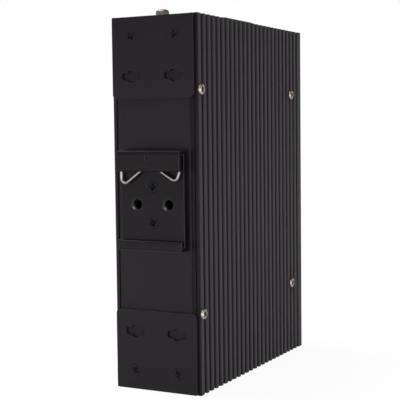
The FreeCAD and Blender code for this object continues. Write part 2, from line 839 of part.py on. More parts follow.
def make_board_screws():
    """Screws that hold the board on its standoffs."""
    body = new_body("board_screws")
    back, up = standoff_front, standoff_low
    thread_end = sink_in + size("standoff_floor")
    add(body, "X", thread_end + size("board_screw_end"), board_face, lambda s: s.rod(
        back, up, size("side_shank")))
    add(body, "X", board_face, board_face + size("pan_height"), lambda s: s.rod(back, up, size("pan_head")))
    repeat(body, STANDOFF_ROWS)


def make_left_cover_screws():
    """Countersunk screws, flush with the plain cover."""
    body = new_body("left_cover_screws")
    back, up = side_screw_back, size("side_screw_low")
    neck = cover_out - cover_head_height
    add(body, "X", cover_in - wall - size("screw_reach"), neck, lambda s: s.rod(
        back, up, size("side_shank")))
    add(body, "X", neck, cover_out, lambda s: s.rod(back, up, size("side_shank"), SEAT_SIDES), taper=45)
    repeat(body, SIDE_ROWS)


def make_ground_screw():
    """The earthing screw on the top, over a lock washer and a flat washer."""
    across = size("ground_across")
    flat_top = top + size("ground_washer_thickness")
    lock_top = flat_top + size("lock_washer_thickness")
    head_top = lock_top + size("ground_head_height")
    flat = new_body("ground_flat_washer")
    add(flat, "Z", top, flat_top, lambda s: s.circle(across, ground_back, size("ground_washer")).rod(
        across, ground_back, shank_hole))
    lock = new_body("ground_lock_washer")
    add(lock, "Z", flat_top, lock_top, lambda s: s.circle(across, ground_back, size("lock_washer")).rod(
        across, ground_back, shank_hole))
    half = size("lock_split") / 2
    cut(lock, "Z", flat_top, lock_top, lambda s: s.box(
        across - size("lock_washer"), across, ground_back - half, ground_back + half))
    screw = new_body("ground_screw")
    add(screw, "Z", top - wall - size("screw_reach"), lock_top, lambda s: s.rod(
        across, ground_back, size("shank")))
    add(screw, "Z", lock_top, head_top, lambda s: s.circle(across, ground_back, size("ground_head")))
    cut(screw, "Z", head_top - size("cross_depth"), head_top, lambda s: s.cross(
        across, ground_back, size("cross_length"), size("cross_width")))


# ---------------------------------------------------------------- circuit board and what stands on it

def make_main_board():
    """The circuit board, drilled for its screws."""
    body = new_body("main_board")
    add(body, "X", board_back, board_face, lambda s: s.box(board_front, board_rear, board_low, board_top))
    hole = cut(body, "X", board_back, board_face, lambda s: s.rod(
        standoff_front, standoff_low, side_hole))
    repeat(body, STANDOFF_ROWS, [hole])


def make_board_standoffs():
    """Hexagonal pillars between the heat sink and the board, each with a stud and a thread."""
    body = new_body("board_standoffs")
    flat = size("standoff_width") / 2
    point = flat * 2 / 1.732
    back, up = standoff_front, standoff_low
    add(body, "X", sink_in, board_back, lambda s: s.polygon([
        (back + point, up), (back + point / 2, up + flat), (back - point / 2, up + flat),
        (back - point, up), (back - point / 2, up - flat), (back + point / 2, up - flat)]))
    add(body, "X", sink_in - size("standoff_stud"), sink_in, lambda s: s.rod(
        back, up, size("side_shank")))
    cut(body, "X", sink_in + size("standoff_floor"), board_back, lambda s: s.rod(back, up, side_thread))
    repeat(body, STANDOFF_ROWS)


def block(label, low_x, high_x, low_y, high_y, low_z, high_z, edge=None):
    """A moulded package; edge is the chamfer round its outer face."""
    body = new_body(label)
    add(body, "X", low_x, high_x, lambda s: s.box(low_y, high_y, low_z, high_z))
    if edge is not None:
        base = body.Tip
        outer = high_x if edge.value > 0 else low_x
        chamfer = body.newObject("PartDesign::Chamfer", "Chamfer")
        chamfer.Base = (base, edges_like(base.Shape, lambda middle, run: near(middle.x, outer)))
        bind(chamfer, "Size", edge if edge.value > 0 else -edge)
        doc.recompute()
    return body


def make_jack(number):
    """A stacked pair of sockets: a plastic insert in a sheet-metal shell."""
    low = jack_low + (number - 1) * size("jack_pitch")
    high = low + size("jack_wide")
    skin = size("jack_shell")
    shell = new_body("jack_shell_%d" % number)
    add(shell, "Y", socket_front, jack_back, lambda s: s.box(board_face, jack_out, low, high))
    cut(shell, "Y", socket_front, jack_back - skin, lambda s: s.box(
        board_face + skin, jack_out - skin, low + skin, high - skin))
    insert = new_body("jack_insert_%d" % number)
    gap = skin + size("sunk_clearance")
    middle = (low + high) / 2
    half = size("socket_wide") / 2
    latch = size("latch_wide") / 2
    centre = (board_face + jack_out) / 2
    add(insert, "Y", socket_front + skin, jack_back - gap, lambda s: s.box(
        board_face + gap, jack_out - gap, low + gap, high - gap))
    for way in (-1, 1):
        inner = centre + way * (size("socket_spacing") - size("socket_tall")) / 2
        outer = inner + way * size("socket_tall")
        notch = outer + way * size("latch_tall")
        cut(insert, "Y", socket_front + skin, socket_front + size("socket_deep"), lambda s: s.polygon([
            (inner, middle - half), (outer, middle - half), (outer, middle - latch),
            (notch, middle - latch), (notch, middle + latch), (outer, middle + latch),
            (outer, middle + half), (inner, middle + half)]))


def make_cage(name, number):
    """A fibre cage: a sheet-metal tube on the board, with its connector inside at the back."""
    low = cage_low + number * size("cage_pitch")
    high = low + size("cage_wide")
    skin = size("cage_wall")
    cage = new_body("%s_fibre_cage" % name)
    add(cage, "Y", socket_front, cage_back, lambda s: s.box(board_face, cage_out, low, high))
    cut(cage, "Y", socket_front, cage_back - skin, lambda s: s.box(
        board_face + skin, cage_out - skin, low + skin, high - skin))
    connector = new_body("%s_fibre_connector" % name)
    middle = (low + high) / 2
    half = size("connector_wide") / 2
    seat = board_face + skin
    end = cage_back - skin
    start = end - size("connector_long")
    slot = size("card_slot") / 2
    centre = seat + size("connector_tall") / 2
    add(connector, "Y", start, end, lambda s: s.box(
        seat, seat + size("connector_tall"), middle - half, middle + half))
    cut(connector, "Y", start, end - size("connector_long") / 3, lambda s: s.box(
        centre - slot, centre + slot, middle - half + skin, middle + half - skin))


def make_light_pipe():
    """Six clear pipes on one bar, which rests on the inside of the front wall."""
    body = new_body("light_pipe")
    low = size("light_low")
    rise = 5 * size("light_pitch")
    reach = size("light_bar") / 2
    inside = shell_front + wall
    add(body, "Y", inside, inside + size("light_bar_depth"), lambda s: s.box(
        light_line - reach, light_line + reach, low - reach, low + rise + reach))
    pipe = add(body, "Y", front - size("light_proud"), light_back, lambda s: light_outline(s, 0))
    repeat(body, LIGHT_ROWS, [pipe])


def make_terminal():
    """The power and alarm terminal: header, pins, plug and clamp screws."""
    wall_in = board_face + size("header_wall")
    wall_out = header_out - size("header_wall")
    end = terminal_start + header_length
    pole = (plug_in + plug_out) / 2
    half = size("terminal_pin") / 2
    pin_hole = half + size("thread_clearance")
    header = new_body("terminal_header")
    add(header, "Z", header_low, top, lambda s: s.box(board_face, header_out, terminal_start, end))
    cut(header, "Z", plug_low, top, lambda s: s.box(
        wall_in, wall_out, terminal_start + size("header_wall"), end - size("header_wall")))
    hole = cut(header, "Z", header_low, plug_low, lambda s: s.box(
        pole - pin_hole, pole + pin_hole, first_pole - pin_hole, first_pole + pin_hole))
    repeat(header, POLE_ROWS, [hole])
    pins = new_body("terminal_pins")
    add(pins, "Z", header_low, plug_low + size("pin_reach"), lambda s: s.box(
        pole - half, pole + half, first_pole - half, first_pole + half))
    repeat(pins, POLE_ROWS)
    plug = new_body("terminal_plug")
    add(plug, "Z", plug_low, plug_high, lambda s: s.box(
        plug_in, plug_out, plug_start, plug_start + terminal_length))
    socket = cut(plug, "Z", plug_low, plug_low + size("pin_reach") + size("plug_fit"), lambda s: s.box(
        pole - pin_hole, pole + pin_hole, first_pole - pin_hole, first_pole + pin_hole))
    entry = size("wire_hole")
    entry_low = plug_out - size("header_wall") - entry
    wire = cut(plug, "Z", plug_high - size("wire_depth"), plug_high, lambda s: s.box(
        entry_low, entry_low + entry, first_pole - entry / 2, first_pole + entry / 2))
    screw = size("terminal_screw")
    well = screw + 2 * size("thread_clearance")
    screw_line = plug_in + size("header_wall") + well / 2
    screw_top = plug_high - size("screw_sunk")
    screw_low = screw_top - size("screw_tall")
    hole = cut(plug, "Z", screw_low, plug_high, lambda s: s.rod(screw_line, first_pole, well))
    repeat(plug, POLE_ROWS, [socket, wire, hole])
    screws = new_body("terminal_screws")
    slot = size("screw_slot") / 2
    add(screws, "Z", screw_low, screw_top, lambda s: s.rod(screw_line, first_pole, screw))
    cut(screws, "Z", screw_top - size("screw_slot"), screw_top, lambda s: s.box(
        screw_line - screw, screw_line + screw, first_pole - slot, first_pole + slot))
    repeat(screws, POLE_ROWS)


def make_components():
    """The chips, transformers and power parts on the board's two faces."""
    edge = size("package_edge")
    half = size("chip_wide") / 2
    spread = size("spreader_wide") / 2
    back = front + size("chip_back")
    up = size("chip_height")
    chip_out = board_back - size("chip_tall")
    pad_out = chip_out - size("pad_thickness")
    block("switch_chip", chip_out, board_back, back - half, back + half, up - half, up + half, -edge)
    block("thermal_pad", pad_out, chip_out, back - half, back + half, up - half, up + half)
    block("heat_spreader", sink_in, pad_out, back - spread, back + spread, up - spread, up + spread)

    coil_front = jack_back + size("part_gap")
    coil_back = coil_front + size("transformer_long")
    for number in range(1, 5):
        middle = jack_low + (number - 1) * size("jack_pitch") + size("jack_wide") / 2
        reach = size("transformer_wide") / 2
        block("transformer_%d" % number, board_face, board_face + size("transformer_tall"),
              coil_front, coil_back, middle - reach, middle + reach, edge)
    phy_front = coil_back + size("part_gap")
    phy_half = size("phy_wide") / 2
    jack_gap = size("jack_pitch") - size("jack_wide")
    for number in (1, 2):
        middle = jack_low + (2 * number - 1) * size("jack_pitch") - jack_gap / 2
        block("phy_chip_%d" % number, board_face, board_face + size("phy_tall"),
              phy_front, phy_front + 2 * phy_half, middle - phy_half, middle + phy_half, edge)
    column = phy_front + 2 * phy_half + size("part_gap")
    block("memory_chip", board_face, board_face + size("phy_tall"),
          column, column + size("memory_long"), jack_low, jack_low + size("memory_wide"), edge)
    crystal_low = jack_low + size("memory_wide") + 2 * size("part_gap")
    block("clock_crystal", board_face, board_face + size("crystal_tall"),
          column, column + size("crystal_long"), crystal_low, crystal_low + size("crystal_wide"))
    module_front = column + size("crystal_long") + size("part_gap")
    module_low = crystal_low + size("crystal_wide") + size("part_gap")
    module_high = module_low + size("module_wide")
    block("power_module", board_face, board_face + size("module_tall"),
          module_front, module_front + size("module_wide"), module_low, module_high, edge)
    coil_low = module_high + 2 * size("part_gap")
    coil_high = coil_low + size("inductor_wide")
    block("power_inductor", board_face, board_face + size("inductor_tall"),
          module_front, module_front + size("inductor_wide"), coil_low, coil_high, edge)
    can_back = module_front + size("can_width") / 2
    can_up = coil_high + size("part_gap") + size("can_width") / 2
    can = new_body("capacitor")
    add(can, "X", board_face, board_face + size("can_tall"), lambda s: s.rod(
        can_back, can_up, size("can_width"), SEAT_SIDES))
    reach = size("light_pitch") / 2
    block("light_bank", board_face, light_line + reach, light_back, light_back + size("light_bank_depth"),
          size("light_low") - reach, size("light_low") + 5 * size("light_pitch") + reach)


# ---------------------------------------------------------------- the whole switch

make_chassis()
make_front_bezel()
make_left_cover()
make_heat_sink()
make_wall_plate("upper_wall_plate", top - size("plate_margin"), -1)
make_wall_plate("lower_wall_plate", size("plate_margin"), 1)
make_rail_clip()
make_rail_spring()
make_rear_screws()
make_heat_sink_screws()
make_left_cover_screws()
make_ground_screw()
make_main_board()
make_board_standoffs()
make_board_screws()
for jack_number in range(1, 5):
    make_jack(jack_number)
make_cage("lower", 0)
make_cage("upper", 1)
make_light_pipe()
make_terminal()
make_components()

doc.recompute()
for item in doc.Objects:
    if "Invalid" in item.State or "Error" in item.State:
        raise ValueError("%s in %s failed" % (item.Name, item.Label))
for body in sub_parts:
    if body.Shape.isNull() or not body.Shape.isValid():
        raise ValueError("%s has no valid shape" % body.Label)

os.makedirs("parts", exist_ok=True)
for body in sub_parts:
    body.Shape.exportStep("parts/%s.step" % body.Label)
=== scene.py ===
import json
import math

import bmesh
import bpy
import numpy as np
from mathutils import Matrix, Vector


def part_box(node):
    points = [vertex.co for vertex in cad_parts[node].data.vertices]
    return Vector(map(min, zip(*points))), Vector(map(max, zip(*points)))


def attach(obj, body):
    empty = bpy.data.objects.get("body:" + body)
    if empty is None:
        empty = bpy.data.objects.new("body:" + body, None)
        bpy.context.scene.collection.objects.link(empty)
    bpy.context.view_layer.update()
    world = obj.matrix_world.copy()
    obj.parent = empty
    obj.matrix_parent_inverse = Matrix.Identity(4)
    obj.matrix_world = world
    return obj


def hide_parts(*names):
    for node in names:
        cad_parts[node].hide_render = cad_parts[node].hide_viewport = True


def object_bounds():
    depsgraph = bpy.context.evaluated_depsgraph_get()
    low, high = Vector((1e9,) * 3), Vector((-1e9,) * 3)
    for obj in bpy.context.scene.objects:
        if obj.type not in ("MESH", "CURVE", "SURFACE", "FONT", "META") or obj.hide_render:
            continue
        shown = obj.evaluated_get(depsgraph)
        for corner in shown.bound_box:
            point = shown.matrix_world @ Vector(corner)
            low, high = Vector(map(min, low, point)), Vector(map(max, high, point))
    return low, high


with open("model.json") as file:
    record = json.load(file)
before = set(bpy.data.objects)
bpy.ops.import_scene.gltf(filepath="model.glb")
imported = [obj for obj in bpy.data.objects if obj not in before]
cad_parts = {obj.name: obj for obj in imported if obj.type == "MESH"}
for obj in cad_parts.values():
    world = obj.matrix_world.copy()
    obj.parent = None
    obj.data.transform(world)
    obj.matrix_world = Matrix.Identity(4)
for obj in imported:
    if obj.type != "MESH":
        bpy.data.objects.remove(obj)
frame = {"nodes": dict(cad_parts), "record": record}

cad_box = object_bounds()

# A slim black network switch for a 35 mm rail: a powder-coated folded case with two wall plates, a ribbed
# cover of anodised aluminium, and an anodised rail clip that holds a bright wire spring.
# Metres, +Z up; the rear with the rail clip faces +Y, the ribbed cover -X, the front with the sockets -Y.

MM = 0.001
AXES = "XYZ"
WELD = 0.0005 * MM               # points nearer than this become one


def box_of(node):
    """The lowest and highest corners of a CAD node, as arrays."""
    low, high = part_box(node)
    return np.array(low), np.array(high)


# ---------------------------------------------------------------- shader nodes

NUMBER = "NodeSocketFloat"
VECTOR = "NodeSocketVector"
WHITE = (1.0, 1.0, 1.0, 1.0)


def new_group(name, inputs, outputs):
    """An empty shader node group with named sockets, and the nodes that hold its inputs and outputs."""
    group = bpy.data.node_groups.new(name, "ShaderNodeTree")
    for way, sockets in (("INPUT", inputs), ("OUTPUT", outputs)):
        for label, kind in sockets.items():
            group.interface.new_socket(label, in_out=way, socket_type=kind)
    return group, group.nodes.new("NodeGroupInput"), group.nodes.new("NodeGroupOutput")


def placed_group(tree, group, place, **values):
    """The outputs of a group placed in a material, with its Place linked and its own values set."""
    node = tree.nodes.new("ShaderNodeGroup")
    node.node_tree = group
    tree.links.new(place, node.inputs["Place"])
    for label, value in values.items():
        node.inputs[label].default_value = value
    return node.outputs


def math_node(tree, operation, first, second, clamp=False):
    """A Math node; each operand is a number or an output socket."""
    node = tree.nodes.new("ShaderNodeMath")
    node.operation = operation
    node.use_clamp = clamp
    for socket, value in zip(node.inputs, (first, second)):
        if isinstance(value, (int, float)):
            socket.default_value = value
        else:
            tree.links.new(value, socket)
    return node.outputs[0]


def noise_node(tree, place, scale, detail=2.0, roughness=0.5):
    """Noise between 0 and 1; the scale is in cells per metre, as a number or an output socket."""
    node = tree.nodes.new("ShaderNodeTexNoise")
    node.inputs["Detail"].default_value = detail
    node.inputs["Roughness"].default_value = roughness
    tree.links.new(place, node.inputs["Vector"])
    if isinstance(scale, (int, float)):
        node.inputs["Scale"].default_value = scale
    else:
        tree.links.new(scale, node.inputs["Scale"])
    return node.outputs[0]


def eased_range(tree, value, start, stop, first, last):
    """A value that eases from first to last while the input goes from start to stop."""
    node = tree.nodes.new("ShaderNodeMapRange")
    node.interpolation_type = "SMOOTHSTEP"
    tree.links.new(value, node.inputs["Value"])
    node.inputs["From Min"].default_value = start
    node.inputs["From Max"].default_value = stop
    node.inputs["To Min"].default_value = first
    node.inputs["To Max"].default_value = last
    return node.outputs[0]


def split_vector(tree, vector):
    """The three parts of a vector socket, by the names X, Y and Z."""
    node = tree.nodes.new("ShaderNodeSeparateXYZ")
    tree.links.new(vector, node.inputs[0])
    return node.outputs


def mix_colour(tree, factor, first, second):
    """A colour mixed between two, each a colour or an output socket."""
    node = tree.nodes.new("ShaderNodeMix")
    node.data_type = "RGBA"
    tree.links.new(factor, node.inputs["Factor"])
    for socket, value in ((node.inputs[6], first), (node.inputs[7], second)):
        if isinstance(value, tuple):
            socket.default_value = value
        else:
            tree.links.new(value, socket)
    return node.outputs[2]


# ---------------------------------------------------------------- shader node groups

COARSE_SCALE = 0.22              # of the fine grain's cells per metre
COARSE_HEIGHT = 0.6              # of the fine grain's height
SLOW_SCALE = 32.0                # cells per metre of the slow shading
SLOW_SHARE = 0.7                 # of the tone; the fine grain gives the rest


def grain_group():
    """Fine grain and slow shading of a finish: Height for bumps, Tone between 0 and 1 for colour."""
    group, start, end = new_group(
        "Grain", {"Place": VECTOR, "Scale": NUMBER}, {"Height": NUMBER, "Tone": NUMBER})
    place, scale = start.outputs["Place"], start.outputs["Scale"]
    fine = noise_node(group, place, scale, detail=3.0, roughness=0.6)
    coarse = noise_node(group, place, math_node(group, "MULTIPLY", scale, COARSE_SCALE))
    height = math_node(group, "ADD", fine, math_node(group, "MULTIPLY", coarse, COARSE_HEIGHT))
    slow = noise_node(group, place, SLOW_SCALE, detail=3.0, roughness=0.55)
    tone = math_node(group, "ADD", math_node(group, "MULTIPLY", slow, SLOW_SHARE),
                     math_node(group, "MULTIPLY", fine, 1 - SLOW_SHARE))
    group.links.new(height, end.inputs["Height"])
    group.links.new(tone, end.inputs["Tone"])
    return group


BEVEL_SAMPLES = 6
EDGE_BREAKUP_SCALE = 900.0               # cells per metre of the noise that breaks up the edge wear and painted highlight
LEAST_EDGE_SHARE = 0.35                # added to that noise


def edge_group():
    """Edges: a rounded normal, and a mask that is 1 on the edges and broken up by noise; it lightens
    edges by wear and by a painted highlight.
    """
    group, start, end = new_group(
        "Edges", {"Place": VECTOR, "Sharpness": NUMBER, "Radius": NUMBER},
        {"Mask": NUMBER, "Normal": VECTOR})
    bevel = group.nodes.new("ShaderNodeBevel")
    bevel.samples = BEVEL_SAMPLES
    group.links.new(start.outputs["Radius"], bevel.inputs["Radius"])
    plain = group.nodes.new("ShaderNodeNewGeometry")
    dot = group.nodes.new("ShaderNodeVectorMath")
    dot.operation = "DOT_PRODUCT"
    group.links.new(bevel.outputs[0], dot.inputs[0])
    group.links.new(plain.outputs["Normal"], dot.inputs[1])
    turned = math_node(group, "SUBTRACT", 1.0, dot.outputs["Value"])
    sharp = math_node(group, "MULTIPLY", turned, start.outputs["Sharpness"])
    broken = noise_node(group, start.outputs["Place"], EDGE_BREAKUP_SCALE, detail=3.0, roughness=0.7)
    mask = math_node(group, "MULTIPLY", sharp, math_node(group, "ADD", broken, LEAST_EDGE_SHARE), clamp=True)
    group.links.new(mask, end.inputs["Mask"])
    group.links.new(bevel.outputs[0], end.inputs["Normal"])
    return group


SIDE_DUST = 0.12                 # dust on an upright face, of that on a level one
PATCH_SCALE = 70.0               # cells per metre
SPECK_SCALE = 2600.0


def dust_group():
    """Fine dust: more on faces that look up, in soft patches of specks."""
    group, start, end = new_group("Dust", {"Place": VECTOR, "Amount": NUMBER}, {"Mask": NUMBER})
    plain = group.nodes.new("ShaderNodeNewGeometry")
    upward = math_node(group, "MAXIMUM", split_vector(group, plain.outputs["Normal"])["Z"], SIDE_DUST)
    patches = noise_node(group, start.outputs["Place"], PATCH_SCALE, detail=4.0, roughness=0.65)
    specks = noise_node(group, start.outputs["Place"], SPECK_SCALE, detail=1.0)
    mask = math_node(group, "MULTIPLY", math_node(group, "MULTIPLY", patches, specks), upward)
    mask = math_node(group, "MULTIPLY", mask, start.outputs["Amount"], clamp=True)
    group.links.new(mask, end.inputs["Mask"])
    return group


GRAIN = grain_group()
EDGES = edge_group()
DUST = dust_group()


# ---------------------------------------------------------------- finishes

EDGE_SHARPNESS = 4.0
PLAIN_EDGE_LIGHTENING = 1.6                 # how much lighter an edge is, by wear and painted highlight, where a finish gives no colour for it
ROUGHNESS_SPREAD = 0.24          # how much the roughness follows the grain's tone
REFRACTION = 1.5                 # index of the lacquers and plastics
DUST_COLOUR = (0.42, 0.40, 0.37, 1.0)


def shade(colour, factor):
    """A colour made lighter or darker, opaque, with no part above 1."""
    return tuple(min(1.0, part * factor) for part in colour) + (1.0,)


def finish(name, colour, roughness, metallic=0.0, grain=3000.0, stretch=(1, 1, 1), bump=0.02, vary=0.25,
           edge=None, edge_strength=0.6, edge_radius=0.28, dust=0.0, level=0.5, coat=0.0, clear=0.0):
    """One finish: a colour that varies by the grain, edges that are lighter by wear and painted highlight,
    dust, and bumps of the grain's height. The grain is in cells per metre, and bump and edge_radius are in
    millimetres."""
    material = bpy.data.materials.new(name)
    material.use_nodes = True
    tree = material.node_tree
    shader = tree.nodes["Principled BSDF"]
    shader.inputs["Metallic"].default_value = metallic
    shader.inputs["Specular IOR Level"].default_value = level
    shader.inputs["Coat Weight"].default_value = coat
    shader.inputs["Transmission Weight"].default_value = clear
    shader.inputs["IOR"].default_value = REFRACTION
    place = tree.nodes.new("ShaderNodeTexCoord").outputs["Object"]
    mapping = tree.nodes.new("ShaderNodeMapping")
    mapping.inputs["Scale"].default_value = stretch
    tree.links.new(place, mapping.inputs["Vector"])
    grains = placed_group(tree, GRAIN, mapping.outputs[0], Scale=grain)
    edges = placed_group(tree, EDGES, place, Sharpness=EDGE_SHARPNESS, Radius=edge_radius * MM)
    tone = mix_colour(tree, grains["Tone"], shade(colour, 1 - vary), shade(colour, 1 + vary))
    # Edges turn lighter: partly wear, partly a painted highlight along the rounded edges.
    wear_and_highlight = math_node(tree, "MULTIPLY", edges["Mask"], edge_strength)
    edge_wear_and_highlight_colour = shade(edge, 1) if edge else shade(colour, PLAIN_EDGE_LIGHTENING)
    base = mix_colour(tree, wear_and_highlight, tone, edge_wear_and_highlight_colour)
    if dust:
        base = mix_colour(tree, placed_group(tree, DUST, place, Amount=dust)["Mask"], base, DUST_COLOUR)
    tree.links.new(base, shader.inputs["Base Color"])
    middle = math_node(tree, "SUBTRACT", grains["Tone"], 0.5)
    spread = math_node(tree, "MULTIPLY", middle, ROUGHNESS_SPREAD)
    tree.links.new(math_node(tree, "ADD", spread, roughness, clamp=True), shader.inputs["Roughness"])
    bumps = tree.nodes.new("ShaderNodeBump")
    bumps.inputs["Strength"].default_value = 1.0
    bumps.inputs["Distance"].default_value = bump * MM
    tree.links.new(grains["Height"], bumps.inputs["Height"])
    tree.links.new(edges["Normal"], bumps.inputs["Normal"])
    tree.links.new(bumps.outputs[0], shader.inputs["Normal"])
    return material


def copied(plain, name):
    """A copy of a finish and its node tree."""
    material = plain.copy()
    material.name = name
    return material, material.node_tree


def turn_to(tree, mask, colour):
    """Mixes the base colour of a finish towards another where the mask is near 1."""
    socket = tree.nodes["Principled BSDF"].inputs["Base Color"]
    base = socket.links[0].from_socket
    tree.links.new(mix_colour(tree, mask, base, shade(colour, 1)), socket)


def toned(plain, name, attribute, colour):
    """A copy of a finish that turns to another colour where the piece's own attribute is near 1."""
    material, tree = copied(plain, name)
    own = tree.nodes.new("ShaderNodeAttribute")
    own.attribute_name = attribute
    turn_to(tree, own.outputs["Fac"], colour)
    return material


def past(plain, name, axis, start, colour):
    """A copy of a finish that turns to another colour past a place along an axis of the switch."""
    material, tree = copied(plain, name)
    place = split_vector(tree, tree.nodes.new("ShaderNodeTexCoord").outputs["Object"])
    turn_to(tree, math_node(tree, "GREATER_THAN", place[axis], start), colour)
    return material


# The grain of a drawn or brushed metal, stretched along one axis.
ALONG_X = (0.04, 1, 1)
ALONG_Y = (1, 0.04, 1)
ALONG_Z = (1, 1, 0.04)

# Each edge colour gives worn edges and a painted highlight along rounded edges; the clip's bright edge
# lines are painted highlights.
FINISHES = {
    "case_black": finish(
        "powder coat", (0.0058, 0.0036, 0.006), 0.45, grain=2600, bump=0.035, edge=(0.04, 0.037, 0.041),
        dust=0.03, level=0.138),
    "sink_black": finish(
        "anodised ribs", (0.019, 0.0165, 0.0193), 0.42, grain=4200, stretch=ALONG_Z, bump=0.012,
        edge=(0.045, 0.0425, 0.0458), edge_strength=0.4, dust=0.03, level=0.09),
    "clip_black": finish(
        "anodised clip", (0.003, 0.0016, 0.0031), 0.4, grain=4200, stretch=ALONG_X, bump=0.012,
        edge=(0.12, 0.116, 0.12), edge_strength=0.45, edge_radius=0.5, dust=0.02, level=0.1),
    "bezel_black": finish(
        "moulded bezel", (0.008, 0.0078, 0.0085), 0.62, grain=5200, bump=0.03, edge=(0.03, 0.03, 0.032),
        edge_strength=0.4, level=0.2),
    "spring_steel": finish(
        "bright spring wire", (0.27, 0.262, 0.25), 0.36, metallic=1.0, grain=2500, stretch=ALONG_X,
        bump=0.004, vary=0.1, edge=(0.3, 0.3, 0.3)),
    "black_screw": finish(
        "black oxide screws", (0.0034, 0.0025, 0.0035), 0.4, grain=3500, bump=0.008,
        edge=(0.07, 0.067, 0.07), edge_strength=0.7, edge_radius=0.3, level=0.11),
    "silver_screw": finish(
        "plated screws", (0.38, 0.335, 0.285), 0.36, metallic=1.0, grain=3500, bump=0.006, vary=0.15,
        edge=(0.6, 0.56, 0.5)),
    "pillar_brass": finish("turned pillars", (0.62, 0.46, 0.22), 0.28, metallic=1.0, stretch=ALONG_X),
    "board_green": finish("solder mask", (0.012, 0.075, 0.028), 0.35, grain=1400, bump=0.012, coat=0.3),
    "package_black": finish("moulded packages", (0.02, 0.02, 0.021), 0.6, grain=6000, bump=0.015),
    "can_silver": finish("drawn cans", (0.7, 0.7, 0.71), 0.28, metallic=1.0, stretch=ALONG_Z, bump=0.004),
    "pad_grey": finish("thermal pad", (0.2, 0.23, 0.28), 0.8, grain=1800, bump=0.04),
    "spreader_metal": finish("milled spreader", (0.66, 0.66, 0.67), 0.35, metallic=1.0, stretch=ALONG_Y),
    "socket_metal": finish(
        "nickel sheet", (0.6, 0.59, 0.57), 0.3, metallic=1.0, stretch=ALONG_Y, bump=0.006, vary=0.12,
        edge=(0.8, 0.8, 0.8)),
    "socket_black": finish(
        "socket plastic", (0.012, 0.012, 0.013), 0.45, grain=5200, bump=0.012, edge=(0.05, 0.05, 0.05)),
    "light_clear": finish(
        "light pipe", (0.86, 0.9, 0.9), 0.12, grain=900, bump=0.004, vary=0.03, clear=0.75),
    "terminal_green": finish(
        "terminal plastic", (0.016, 0.16, 0.055), 0.42, grain=5200, bump=0.014, edge=(0.05, 0.3, 0.12),
        edge_strength=0.4),
    "pin_metal": finish("tinned pins", (0.75, 0.7, 0.6), 0.25, metallic=1.0, stretch=ALONG_Z, bump=0.003),
}
COUNTERSINK = finish(
    "countersinks", (0.014, 0.0125, 0.0142), 0.4, grain=3600, bump=0.01, edge_strength=0.0, level=0.3)
EARTH_PLATING = finish(
    "earthing hardware", (0.2, 0.18, 0.155), 0.42, metallic=1.0, grain=3500, bump=0.006, vary=0.15,
    edge=(0.34, 0.31, 0.27))
CONTACT_GOLD = finish("gilt contacts", (0.85, 0.6, 0.22), 0.22, metallic=1.0, bump=0.003, vary=0.08)

# Painted shade in the cross recesses: each head turns darker with the depth of its recess.
RECESS_PAINTED_SHADE = (0.0016, 0.0011, 0.0017)
BLACK_HEADS = toned(FINISHES["black_screw"], "black screw heads", "recess_shade", RECESS_PAINTED_SHADE)
COATED_HEADS = toned(FINISHES["case_black"], "coated screw heads", "recess_shade", RECESS_PAINTED_SHADE)
PLATED_HEADS = toned(FINISHES["silver_screw"], "plated screw heads", "recess_shade", (0.05, 0.044, 0.038))
EARTH_HEAD = toned(EARTH_PLATING, "earthing screw head", "recess_shade", (0.03, 0.027, 0.024))
# Painted glint on one side of the two spare countersinks.
PAINTED_GLINT_METAL = toned(COUNTERSINK, "countersinks with painted glint", "wear_and_highlight", (0.15, 0.15, 0.153))

REAR_END = 0.5 * MM              # how much of the ribbed cover's rear end takes a painted shade, darker than its ribs
RIBBED_COVER_WITH_SHADED_END = past(FINISHES["sink_black"], "ribbed cover", "Y", box_of("heat_sink")[1][1] - REAR_END,
                    (0.0045, 0.003, 0.0047))


def dress(node, material):
    """Gives a CAD node one finish."""
    slots = frame["nodes"][node].data.materials
    slots.clear()
    slots.append(material)


for part in frame["record"]["subparts"]:
    dress(part["node"], FINISHES[part["material_slot"]])
for earthing in ("ground_screw", "ground_lock_washer", "ground_flat_washer"):
    dress(earthing, EARTH_PLATING)
# The ribbed cover, with a painted shade on its rear end.
dress("heat_sink", RIBBED_COVER_WITH_SHADED_END)


# ---------------------------------------------------------------- surfaces

def grid_faces(rows, columns, close_rows=False, close_columns=False):
    """Quads of a grid of rows by columns points, as an array of four point numbers each."""
    row = np.arange(rows if close_rows else rows - 1)
    column = np.arange(columns if close_columns else columns - 1)
    row, column = [part.ravel() for part in np.meshgrid(row, column, indexing="ij")]
    next_row, next_column = (row + 1) % rows, (column + 1) % columns
    return np.stack([row * columns + column, next_row * columns + column,
                     next_row * columns + next_column, row * columns + next_column], axis=1)


def joined(meshes):
    """Several meshes, each points and faces, as one."""
    starts = np.cumsum([0] + [len(points) for points, faces in meshes])
    return (np.concatenate([points for points, faces in meshes]),
            np.concatenate([faces + start for (points, faces), start in zip(meshes, starts)]))


def repeated(points, faces, offsets):
    """Copies of a mesh, moved by each offset, as one mesh."""
    return joined([(points + np.array(offset), faces) for offset in offsets])


